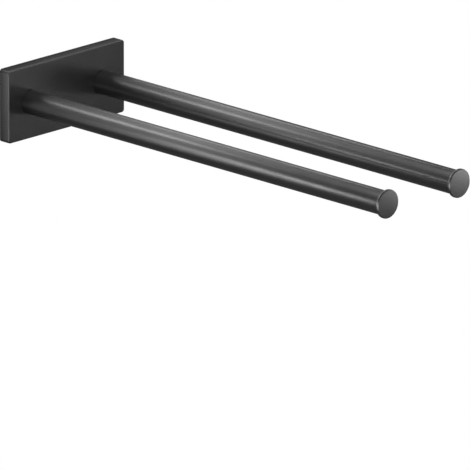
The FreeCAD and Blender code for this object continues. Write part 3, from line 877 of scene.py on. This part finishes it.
class TOWELBAR_OT_stage(bpy.types.Operator):
    """Set the floor, the shade on the wall, the soft boxes, the background and the camera"""

    bl_idname = "towel_bar.stage"
    bl_label = "Stage"

    def execute(self, context):
        look = context.scene.towel_bar_stage
        self.lay_floor(context, look)
        self.shade_wall(context, look)
        for index, (name, x, z, width, height, radiance) in enumerate(BACK_BOXES):
            centre = Vector((x, BACK_BOXES_Y + index * BACK_BOXES_STEP, z))
            aim = centre - Vector((0.0, 1.0, 0.0))
            self.hang_soft_box(context, name, centre, aim, (width, height), radiance)
        for soft_box in AIMED_BOXES:
            self.hang_soft_box(context, *soft_box)
        self.link_lights()
        self.fill_background(context, look)
        self.set_camera(context, look)
        return {"FINISHED"}

    def lay_floor(self, context, look):
        """A floor that the object reflects, shown as background and clear from below."""
        material, tree, shader = start_material("pale_floor")
        shader.inputs["Base Color"].default_value = look.floor_colour
        shader.inputs["Roughness"].default_value = FLOOR_ROUGHNESS
        glow = add_node(tree, "ShaderNodeEmission", links={
            "Color": look.background, "Strength": 1.0})
        ray = add_node(tree, "ShaderNodeLightPath")
        upper = mix_shaders(
            tree, ray.outputs["Is Camera Ray"], shader.outputs["BSDF"], glow.outputs["Emission"])
        side = add_node(tree, "ShaderNodeNewGeometry")
        clear = add_node(tree, "ShaderNodeBsdfTransparent")
        surface = mix_shaders(tree, side.outputs["Backfacing"], upper, clear.outputs["BSDF"])
        tree.links.new(surface, tree.nodes["Material Output"].inputs["Surface"])
        bm = bmesh.new()
        level = Matrix.Translation((0.0, 0.0, -look.floor_drop))
        bmesh.ops.create_grid(
            bm, x_segments=FLOOR_CELLS, y_segments=FLOOR_CELLS, size=look.floor_size / 2,
            matrix=level)
        floor = add_object(context, "floor", bm, material)

    def shade_wall(self, context, look):
        """A frame round the plate's back that holds light back, most of all beside the plate."""
        material, tree, shader = start_material("wall_shade")
        shader.inputs["Base Color"].default_value = BLACK
        shader.inputs["Specular IOR Level"].default_value = 0.0
        amount = add_node(tree, "ShaderNodeAttribute", {"attribute_name": "shade"})
        clear = add_node(tree, "ShaderNodeBsdfTransparent")
        surface = mix_shaders(
            tree, amount.outputs["Fac"], clear.outputs["BSDF"], shader.outputs["BSDF"])
        tree.links.new(surface, tree.nodes["Material Output"].inputs["Surface"])
        low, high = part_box("cover_plate")
        width = high.x - low.x + 2 * look.shade_width
        height = high.z - low.z + 2 * look.shade_width
        bm = bmesh.new()
        upright = Matrix.Rotation(QUARTER_TURN, 4, "X")
        sized = Matrix.Diagonal((width, 1.0, height, 1.0))
        bmesh.ops.create_grid(bm, x_segments=1, y_segments=1, size=0.5, matrix=sized @ upright)
        dark = bm.verts.layers.float.new("shade")
        outline = set(bm.verts)
        plate = bm.faces[:]
        bmesh.ops.inset_region(
            bm, faces=plate, thickness=look.shade_width, use_boundary=True, use_even_offset=True)
        for vert in bm.verts:
            vert[dark] = 0.0 if vert in outline else look.shade_strength
        bmesh.ops.delete(bm, geom=plate, context="FACES_ONLY")
        shade = add_object(context, "wall_shade", bm, material)
        shade.visible_camera = False

    def hang_soft_box(self, context, name, centre, aim, size, radiance):
        """A rectangular soft box that the camera doesn't see."""
        light = bpy.data.lights.new(name, "AREA")
        light.shape = "RECTANGLE"
        light.size, light.size_y = size
        light.energy = radiance * math.pi * light.size * light.size_y
        soft_box = bpy.data.objects.new(name, light)
        soft_box.location = centre
        facing = Vector(aim) - Vector(centre)
        soft_box.rotation_euler = facing.to_track_quat("-Z", "Y").to_euler()
        soft_box.visible_camera = False
        context.scene.collection.objects.link(soft_box)

    def link_lights(self):
        """Keep some boxes off some pieces, or on those pieces alone."""
        for name, boxes, pieces, state in LIGHT_LINKS:
            group = bpy.data.collections.new(name)
            for piece in pieces:
                group.objects.link(bpy.data.objects[piece])
            for member in group.collection_objects:
                member.light_linking.link_state = state
            for box in boxes:
                bpy.data.objects[box].light_linking.receiver_collection = group

    def fill_background(self, context, look):
        """A white background that lights the object only a little."""
        world = bpy.data.worlds.new("studio")
        world.use_nodes = True
        tree = world.node_tree
        fill = tree.nodes["Background"]
        fill.inputs["Color"].default_value = look.background
        fill.inputs["Strength"].default_value = look.fill_strength
        seen = add_node(tree, "ShaderNodeBackground", links={
            "Color": look.background, "Strength": 1.0})
        ray = add_node(tree, "ShaderNodeLightPath")
        surface = mix_shaders(
            tree, ray.outputs["Is Camera Ray"], fill.outputs["Background"],
            seen.outputs["Background"])
        tree.links.new(surface, tree.nodes["World Output"].inputs["Surface"])
        context.scene.world = world
        context.scene.view_settings.view_transform = "Standard"

    def set_camera(self, context, look):
        """A camera with a long lens, turned and raised round its aim point."""
        lens = bpy.data.cameras.new("camera")
        lens.sensor_width = SENSOR_WIDTH
        lens.lens = look.lens
        turn = Euler((QUARTER_TURN - look.elevation, 0.0, look.azimuth)).to_matrix()
        aim = turn @ Vector((look.aim_right, -look.aim_down, 0.0))
        distance = look.frame_width * look.lens / SENSOR_WIDTH
        lens.clip_end = FAR_LIMIT * distance
        camera = bpy.data.objects.new("camera", lens)
        camera.location = aim + turn @ Vector((0.0, 0.0, distance))
        camera.rotation_euler = turn.to_euler()
        context.scene.collection.objects.link(camera)
        context.scene.camera = camera


class TOWELBAR_PT_panel(bpy.types.Panel):
    """Lists the sizes and colours of the towel bar and the steps that finish it"""

    bl_idname = "TOWELBAR_PT_panel"
    bl_label = "Double Towel Bar"
    bl_space_type = "VIEW_3D"
    bl_region_type = "UI"
    bl_category = "Towel Bar"

    def draw(self, context):
        for name, group in SETTINGS.items():
            settings = getattr(context.scene, name)
            box = self.layout.box()
            box.label(text=group.__doc__)
            for setting in group.__annotations__:
                box.prop(settings, setting)
        for operator in OPERATORS:
            self.layout.operator(operator.bl_idname)


OPERATORS = (
    TOWELBAR_OT_castings,
    TOWELBAR_OT_tubes,
    TOWELBAR_OT_caps,
    TOWELBAR_OT_bar_screws,
    TOWELBAR_OT_washers,
    TOWELBAR_OT_grub_screws,
    TOWELBAR_OT_stage,
)
SETTINGS = {
    "towel_bar_arms": ArmSizes,
    "towel_bar_fasteners": FastenerSizes,
    "towel_bar_finish": FinishLook,
    "towel_bar_stage": StageLook,
}
CLASSES = (*SETTINGS.values(), *OPERATORS, TOWELBAR_PT_panel)


def register():
    for item in CLASSES:
        bpy.utils.register_class(item)
    for name, group in SETTINGS.items():
        setattr(bpy.types.Scene, name, bpy.props.PointerProperty(type=group))


def unregister():
    for name in SETTINGS:
        delattr(bpy.types.Scene, name)
    for item in reversed(CLASSES):
        bpy.utils.unregister_class(item)


def main():
    register()
    bpy.ops.towel_bar.castings()
    bpy.ops.towel_bar.tubes()
    bpy.ops.towel_bar.caps()
    bpy.ops.towel_bar.bar_screws()
    bpy.ops.towel_bar.washers()
    bpy.ops.towel_bar.grub_screws()
    bpy.ops.towel_bar.stage()


if __name__ == "__main__":
    main()
